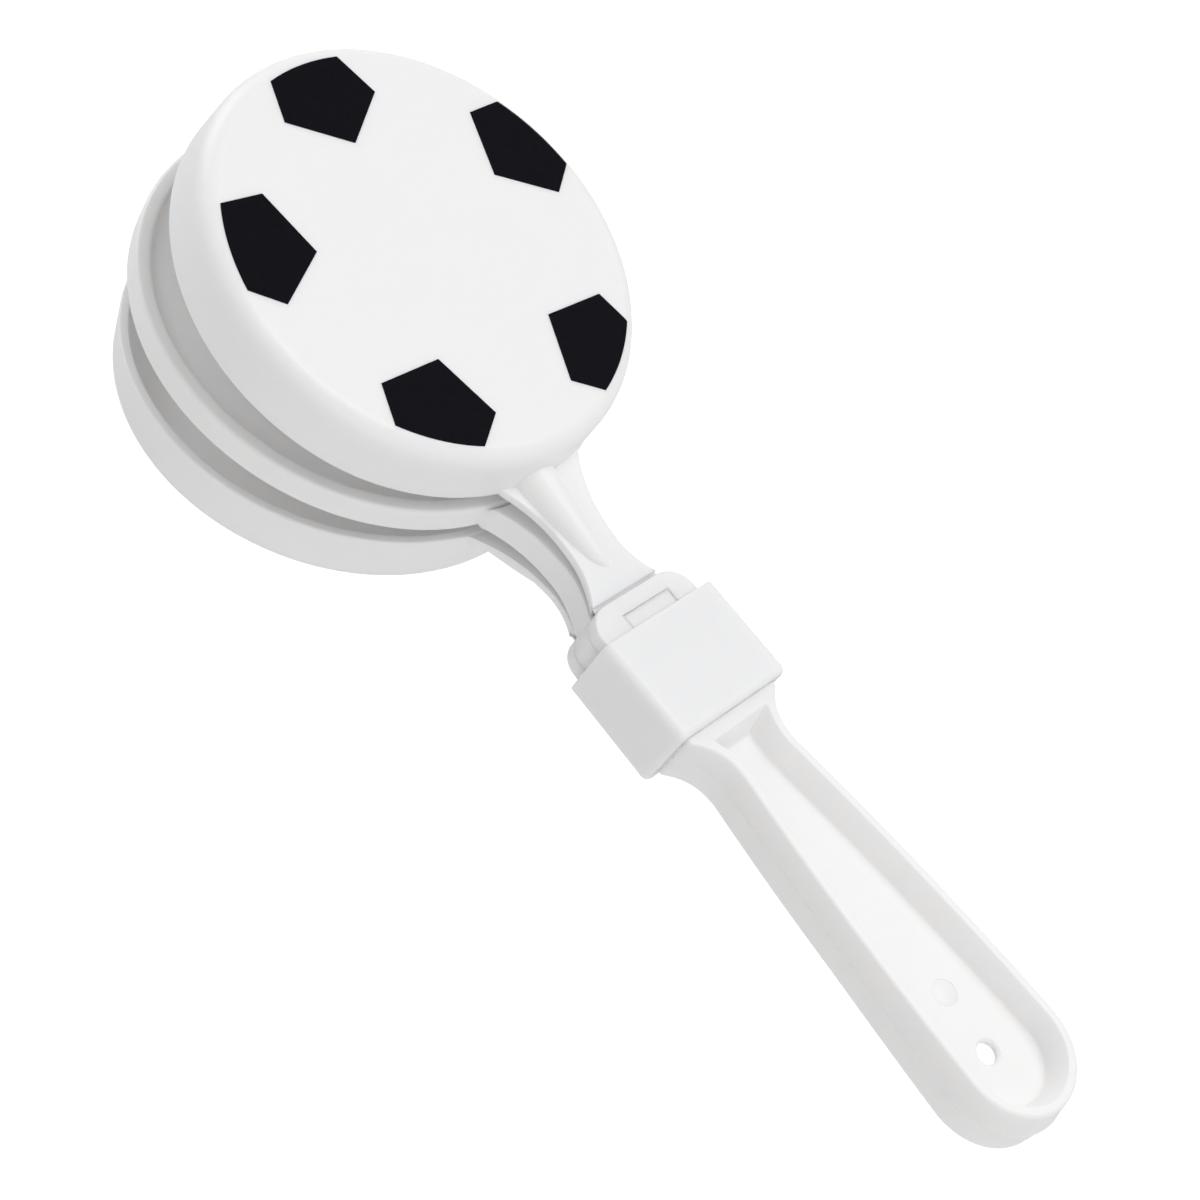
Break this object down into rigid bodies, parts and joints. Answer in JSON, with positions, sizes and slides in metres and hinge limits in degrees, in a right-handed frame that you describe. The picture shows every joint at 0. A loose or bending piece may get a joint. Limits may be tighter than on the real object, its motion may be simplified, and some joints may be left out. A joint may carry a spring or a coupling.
{
  "type": "hand clapper",
  "caption": "Hand clapper: two cupped discs on film hinges beat against a centre disc at the end of a flat channelled grip, with a printed football pattern on the front disc.",
  "frame": {"origin": "midway between the two film hinges, on the handle's centre plane, which is also the middle of the bounding box", "axes": "+X to the end of the grip, +Z out of the printed front disc, +Y across the handle"},
  "size_m": [0.2218, 0.0866, 0.057],
  "materials": {
    "white_plastic": "satin injection-moulded polypropylene",
    "printed_ink": "satin pad-printed ink"
  },
  "bodies": {
    "handle": {"handle": "white_plastic", "collar": "white_plastic", "front_tail": "white_plastic", "rear_tail": "white_plastic"},
    "front_clapper": {"front_clapper": "white_plastic", "pentagon_1": "printed_ink", "pentagon_2": "printed_ink", "pentagon_3": "printed_ink", "pentagon_4": "printed_ink", "pentagon_5": "printed_ink"},
    "rear_clapper": {"rear_clapper": "white_plastic"}
  },
  "joints": [
    {"name": "front_hinge", "type": "hinge", "parent": "handle", "child": "front_clapper", "pos_m": [0, 0, 0.0033], "axis": [0, 1, 0], "range_deg": [-7.4, 17.6], "stiffness_Nm_per_rad": 0.3},
    {"name": "rear_hinge", "type": "hinge", "parent": "handle", "child": "rear_clapper", "pos_m": [0, 0, -0.0033], "axis": [0, -1, 0], "range_deg": [-7.4, 17.6], "stiffness_Nm_per_rad": 0.3}
  ]
}
